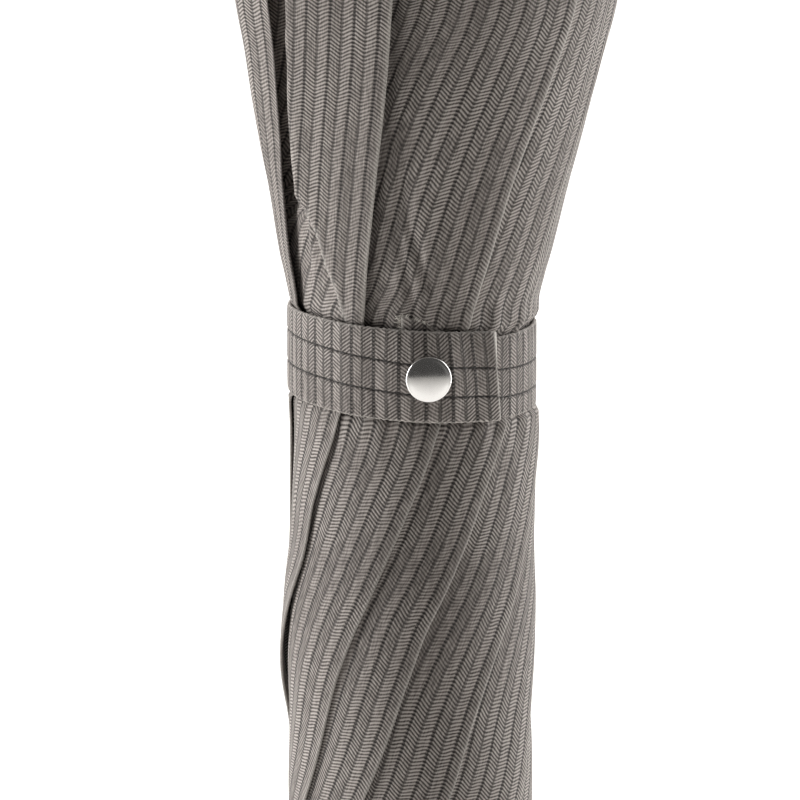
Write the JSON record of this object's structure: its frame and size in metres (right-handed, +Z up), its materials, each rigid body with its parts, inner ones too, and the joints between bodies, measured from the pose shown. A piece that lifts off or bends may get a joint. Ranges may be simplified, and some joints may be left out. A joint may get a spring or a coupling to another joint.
{
  "type": "umbrella",
  "caption": "Furled stick umbrella with a crook handle: herringbone canopy rolled in spiral folds and held by a tie strap with a press stud.",
  "frame": {"origin": "centre of the flat end face of the ferrule tip", "axes": "+Z up along the shaft to the handle, -Y the side with the press stud, +X the way the crook bends"},
  "size_m": [0.1415, 0.11, 0.8818],
  "materials": {
    "black_steel": "semi-gloss black enamel",
    "nickel": "bright nickel plate",
    "spring_steel": "bare spring steel",
    "canopy_cloth": "grey-brown herringbone weave, matt",
    "chestnut": "satin varnished chestnut",
    "black_plastic": "moulded black plastic"
  },
  "bodies": {
    "stick": {"shaft": "black_steel", "ferrule": "nickel", "ferrule_tip": "black_plastic", "crown_cap": "nickel", "crown_rosette": "canopy_cloth", "crown_notch": "black_plastic", "crown_wire": "spring_steel", "handle_collar": "nickel", "handle": "chestnut"},
    "runner": {"runner": "black_plastic"},
    "bottom_catch": {"bottom_catch": "spring_steel"},
    "top_catch": {"top_catch": "spring_steel"},
    "rib_1": {"rib_1": "black_steel", "rib_tip_1": "nickel"},
    "stretcher_1": {"stretcher_1": "black_steel"},
    "rib_2": {"rib_2": "black_steel", "rib_tip_2": "nickel"},
    "stretcher_2": {"stretcher_2": "black_steel"},
    "rib_3": {"rib_3": "black_steel", "rib_tip_3": "nickel"},
    "stretcher_3": {"stretcher_3": "black_steel"},
    "rib_4": {"rib_4": "black_steel", "rib_tip_4": "nickel"},
    "stretcher_4": {"stretcher_4": "black_steel"},
    "rib_5": {"rib_5": "black_steel", "rib_tip_5": "nickel"},
    "stretcher_5": {"stretcher_5": "black_steel"},
    "rib_6": {"rib_6": "black_steel", "rib_tip_6": "nickel"},
    "stretcher_6": {"stretcher_6": "black_steel"},
    "rib_7": {"rib_7": "black_steel", "rib_tip_7": "nickel"},
    "stretcher_7": {"stretcher_7": "black_steel"},
    "rib_8": {"rib_8": "black_steel", "rib_tip_8": "nickel"},
    "stretcher_8": {"stretcher_8": "black_steel"},
    "gore_1_outer": {"gore_1_outer": "canopy_cloth"},
    "gore_1_inner": {"gore_1_inner": "canopy_cloth"},
    "gore_2_outer": {"gore_2_outer": "canopy_cloth"},
    "gore_2_inner": {"gore_2_inner": "canopy_cloth"},
    "gore_3_outer": {"gore_3_outer": "canopy_cloth", "strap_loop": "canopy_cloth", "snap_post": "nickel", "snap_stud": "nickel"},
    "gore_3_inner": {"gore_3_inner": "canopy_cloth"},
    "gore_4_outer": {"gore_4_outer": "canopy_cloth"},
    "gore_4_inner": {"gore_4_inner": "canopy_cloth"},
    "gore_5_outer": {"gore_5_outer": "canopy_cloth"},
    "gore_5_inner": {"gore_5_inner": "canopy_cloth"},
    "gore_6_outer": {"gore_6_outer": "canopy_cloth"},
    "gore_6_inner": {"gore_6_inner": "canopy_cloth"},
    "gore_7_outer": {"gore_7_outer": "canopy_cloth"},
    "gore_7_inner": {"gore_7_inner": "canopy_cloth"},
    "gore_8_outer": {"gore_8_outer": "canopy_cloth"},
    "gore_8_inner": {"gore_8_inner": "canopy_cloth"},
    "strap_tab": {"strap_tab": "canopy_cloth", "snap_socket": "nickel", "snap_cap": "nickel"}
  },
  "joints": [
    {"name": "rib_1_pivot", "type": "hinge", "parent": "stick", "child": "rib_1", "pos_m": [-0.00424, -0.00678, 0.075], "axis": [0.848, -0.5299, 0], "range_deg": [0, 68], "deforming": ["gore_1_outer", "gore_1_inner", "gore_2_outer", "gore_2_inner", "gore_3_outer", "gore_3_inner", "gore_4_outer", "gore_4_inner", "gore_5_outer", "gore_5_inner", "gore_6_outer", "gore_6_inner", "gore_7_outer", "gore_7_inner", "gore_8_outer", "gore_8_inner", "strap_loop", "bottom_catch", "top_catch"]},
    {"name": "rib_2_pivot", "type": "hinge", "parent": "stick", "child": "rib_2", "pos_m": [0.0018, -0.00779, 0.075], "axis": [0.9744, 0.225, 0], "range_deg": [0, 68]},
    {"name": "rib_3_pivot", "type": "hinge", "parent": "stick", "child": "rib_3", "pos_m": [0.00678, -0.00424, 0.075], "axis": [0.5299, 0.848, 0], "range_deg": [0, 68]},
    {"name": "rib_4_pivot", "type": "hinge", "parent": "stick", "child": "rib_4", "pos_m": [0.00779, 0.0018, 0.075], "axis": [-0.225, 0.9744, 0], "range_deg": [0, 68]},
    {"name": "rib_5_pivot", "type": "hinge", "parent": "stick", "child": "rib_5", "pos_m": [0.00424, 0.00678, 0.075], "axis": [-0.848, 0.5299, 0], "range_deg": [0, 68]},
    {"name": "rib_6_pivot", "type": "hinge", "parent": "stick", "child": "rib_6", "pos_m": [-0.0018, 0.00779, 0.075], "axis": [-0.9744, -0.225, 0], "range_deg": [0, 68]},
    {"name": "rib_7_pivot", "type": "hinge", "parent": "stick", "child": "rib_7", "pos_m": [-0.00678, 0.00424, 0.075], "axis": [-0.5299, -0.848, 0], "range_deg": [0, 68]},
    {"name": "rib_8_pivot", "type": "hinge", "parent": "stick", "child": "rib_8", "pos_m": [-0.00779, -0.0018, 0.075], "axis": [0.225, -0.9744, 0], "range_deg": [0, 68]},
    {"name": "stretcher_1_pivot", "type": "hinge", "parent": "rib_1", "child": "stretcher_1", "pos_m": [-0.00477, -0.00763, 0.305], "axis": [-0.848, 0.5299, 0], "range_deg": [0, 113.18]},
    {"name": "stretcher_2_pivot", "type": "hinge", "parent": "rib_2", "child": "stretcher_2", "pos_m": [0.00202, -0.00877, 0.305], "axis": [-0.9744, -0.225, 0], "range_deg": [0, 113.18]},
    {"name": "stretcher_3_pivot", "type": "hinge", "parent": "rib_3", "child": "stretcher_3", "pos_m": [0.00763, -0.00477, 0.305], "axis": [-0.5299, -0.848, 0], "range_deg": [0, 113.18]},
    {"name": "stretcher_4_pivot", "type": "hinge", "parent": "rib_4", "child": "stretcher_4", "pos_m": [0.00877, 0.00202, 0.305], "axis": [0.225, -0.9744, 0], "range_deg": [0, 113.18]},
    {"name": "stretcher_5_pivot", "type": "hinge", "parent": "rib_5", "child": "stretcher_5", "pos_m": [0.00477, 0.00763, 0.305], "axis": [0.848, -0.5299, 0], "range_deg": [0, 113.18]},
    {"name": "stretcher_6_pivot", "type": "hinge", "parent": "rib_6", "child": "stretcher_6", "pos_m": [-0.00202, 0.00877, 0.305], "axis": [0.9744, 0.225, 0], "range_deg": [0, 113.18]},
    {"name": "stretcher_7_pivot", "type": "hinge", "parent": "rib_7", "child": "stretcher_7", "pos_m": [-0.00763, 0.00477, 0.305], "axis": [0.5299, 0.848, 0], "range_deg": [0, 113.18]},
    {"name": "stretcher_8_pivot", "type": "hinge", "parent": "rib_8", "child": "stretcher_8", "pos_m": [-0.00877, -0.00202, 0.305], "axis": [-0.225, 0.9744, 0], "range_deg": [0, 113.18]},
    {"name": "runner_slide", "type": "slide", "parent": "stick", "child": "runner", "axis": [0, 0, -1], "range_m": [0, 0.23374]},
    {"name": "gore_1_outer_fold", "type": "hinge", "parent": "rib_1", "child": "gore_1_outer", "pos_m": [-0.00281, -0.00734, 0.0748], "axis": [0.2356, 0.8049, -0.5446], "range_deg": [0, 24.84]},
    {"name": "gore_1_inner_fold", "type": "hinge", "parent": "rib_2", "child": "gore_1_inner", "pos_m": [0.00026, -0.00785, 0.0748], "axis": [-0.0393, -0.8378, 0.5446], "range_deg": [0, 24.84]},
    {"name": "gore_2_outer_fold", "type": "hinge", "parent": "rib_2", "child": "gore_2_outer", "pos_m": [0.0032, -0.00717, 0.0748], "axis": [-0.4026, 0.7357, -0.5446], "range_deg": [0, 24.84]},
    {"name": "gore_2_inner_fold", "type": "hinge", "parent": "rib_3", "child": "gore_2_inner", "pos_m": [0.00574, -0.00536, 0.0748], "axis": [0.5646, -0.6202, 0.5446], "range_deg": [0, 24.84]},
    {"name": "gore_3_outer_fold", "type": "hinge", "parent": "rib_3", "child": "gore_3_outer", "pos_m": [0.00734, -0.00281, 0.0748], "axis": [-0.8049, 0.2356, -0.5446], "range_deg": [0, 24.84]},
    {"name": "gore_3_inner_fold", "type": "hinge", "parent": "rib_4", "child": "gore_3_inner", "pos_m": [0.00785, 0.00026, 0.0748], "axis": [0.8378, -0.0393, 0.5446], "range_deg": [0, 24.84]},
    {"name": "gore_4_outer_fold", "type": "hinge", "parent": "rib_4", "child": "gore_4_outer", "pos_m": [0.00717, 0.0032, 0.0748], "axis": [-0.7357, -0.4026, -0.5446], "range_deg": [0, 24.84]},
    {"name": "gore_4_inner_fold", "type": "hinge", "parent": "rib_5", "child": "gore_4_inner", "pos_m": [0.00536, 0.00574, 0.0748], "axis": [0.6202, 0.5646, 0.5446], "range_deg": [0, 24.84]},
    {"name": "gore_5_outer_fold", "type": "hinge", "parent": "rib_5", "child": "gore_5_outer", "pos_m": [0.00281, 0.00734, 0.0748], "axis": [-0.2356, -0.8049, -0.5446], "range_deg": [0, 24.84]},
    {"name": "gore_5_inner_fold", "type": "hinge", "parent": "rib_6", "child": "gore_5_inner", "pos_m": [-0.00026, 0.00785, 0.0748], "axis": [0.0393, 0.8378, 0.5446], "range_deg": [0, 24.84]},
    {"name": "gore_6_outer_fold", "type": "hinge", "parent": "rib_6", "child": "gore_6_outer", "pos_m": [-0.0032, 0.00717, 0.0748], "axis": [0.4026, -0.7357, -0.5446], "range_deg": [0, 24.84]},
    {"name": "gore_6_inner_fold", "type": "hinge", "parent": "rib_7", "child": "gore_6_inner", "pos_m": [-0.00574, 0.00536, 0.0748], "axis": [-0.5646, 0.6202, 0.5446], "range_deg": [0, 24.84]},
    {"name": "gore_7_outer_fold", "type": "hinge", "parent": "rib_7", "child": "gore_7_outer", "pos_m": [-0.00734, 0.00281, 0.0748], "axis": [0.8049, -0.2356, -0.5446], "range_deg": [0, 24.84]},
    {"name": "gore_7_inner_fold", "type": "hinge", "parent": "rib_8", "child": "gore_7_inner", "pos_m": [-0.00785, -0.00026, 0.0748], "axis": [-0.8378, 0.0393, 0.5446], "range_deg": [0, 24.84]},
    {"name": "gore_8_outer_fold", "type": "hinge", "parent": "rib_8", "child": "gore_8_outer", "pos_m": [-0.00717, -0.0032, 0.0748], "axis": [0.7357, 0.4026, -0.5446], "range_deg": [0, 24.84]},
    {"name": "gore_8_inner_fold", "type": "hinge", "parent": "rib_1", "child": "gore_8_inner", "pos_m": [-0.00536, -0.00574, 0.0748], "axis": [-0.6202, -0.5646, 0.5446], "range_deg": [0, 24.84]},
    {"name": "bottom_catch_press", "type": "slide", "parent": "stick", "child": "bottom_catch", "axis": [-0.8141, -0.5807, 0], "range_m": [0, 0.0025], "stiffness_N_per_m": 300},
    {"name": "top_catch_press", "type": "slide", "parent": "stick", "child": "top_catch", "axis": [-0.8141, -0.5807, 0], "range_m": [0, 0.0025], "stiffness_N_per_m": 300},
    {"name": "strap_tab_hinge", "type": "hinge", "parent": "gore_3_outer", "child": "strap_tab", "pos_m": [-0.01278, -0.03106, 0.4758], "axis": [-0.0628, 0, -0.998], "range_deg": [0, 100]}
  ],
  "couplings": [
    {"joint": "rib_2_pivot", "follows": "rib_1_pivot", "ratio": 1},
    {"joint": "rib_3_pivot", "follows": "rib_1_pivot", "ratio": 1},
    {"joint": "rib_4_pivot", "follows": "rib_1_pivot", "ratio": 1},
    {"joint": "rib_5_pivot", "follows": "rib_1_pivot", "ratio": 1},
    {"joint": "rib_6_pivot", "follows": "rib_1_pivot", "ratio": 1},
    {"joint": "rib_7_pivot", "follows": "rib_1_pivot", "ratio": 1},
    {"joint": "rib_8_pivot", "follows": "rib_1_pivot", "ratio": 1},
    {"joint": "stretcher_1_pivot", "follows": "rib_1_pivot", "ratio": 1.6644},
    {"joint": "stretcher_2_pivot", "follows": "rib_1_pivot", "ratio": 1.6644},
    {"joint": "stretcher_3_pivot", "follows": "rib_1_pivot", "ratio": 1.6644},
    {"joint": "stretcher_4_pivot", "follows": "rib_1_pivot", "ratio": 1.6644},
    {"joint": "stretcher_5_pivot", "follows": "rib_1_pivot", "ratio": 1.6644},
    {"joint": "stretcher_6_pivot", "follows": "rib_1_pivot", "ratio": 1.6644},
    {"joint": "stretcher_7_pivot", "follows": "rib_1_pivot", "ratio": 1.6644},
    {"joint": "stretcher_8_pivot", "follows": "rib_1_pivot", "ratio": 1.6644},
    {"joint": "runner_slide", "follows": "rib_1_pivot", "m_per_rad": 0.19694},
    {"joint": "gore_1_outer_fold", "follows": "rib_1_pivot", "ratio": 0.36527},
    {"joint": "gore_1_inner_fold", "follows": "rib_1_pivot", "ratio": 0.36527},
    {"joint": "gore_2_outer_fold", "follows": "rib_1_pivot", "ratio": 0.36527},
    {"joint": "gore_2_inner_fold", "follows": "rib_1_pivot", "ratio": 0.36527},
    {"joint": "gore_3_outer_fold", "follows": "rib_1_pivot", "ratio": 0.36527},
    {"joint": "gore_3_inner_fold", "follows": "rib_1_pivot", "ratio": 0.36527},
    {"joint": "gore_4_outer_fold", "follows": "rib_1_pivot", "ratio": 0.36527},
    {"joint": "gore_4_inner_fold", "follows": "rib_1_pivot", "ratio": 0.36527},
    {"joint": "gore_5_outer_fold", "follows": "rib_1_pivot", "ratio": 0.36527},
    {"joint": "gore_5_inner_fold", "follows": "rib_1_pivot", "ratio": 0.36527},
    {"joint": "gore_6_outer_fold", "follows": "rib_1_pivot", "ratio": 0.36527},
    {"joint": "gore_6_inner_fold", "follows": "rib_1_pivot", "ratio": 0.36527},
    {"joint": "gore_7_outer_fold", "follows": "rib_1_pivot", "ratio": 0.36527},
    {"joint": "gore_7_inner_fold", "follows": "rib_1_pivot", "ratio": 0.36527},
    {"joint": "gore_8_outer_fold", "follows": "rib_1_pivot", "ratio": 0.36527},
    {"joint": "gore_8_inner_fold", "follows": "rib_1_pivot", "ratio": 0.36527}
  ]
}
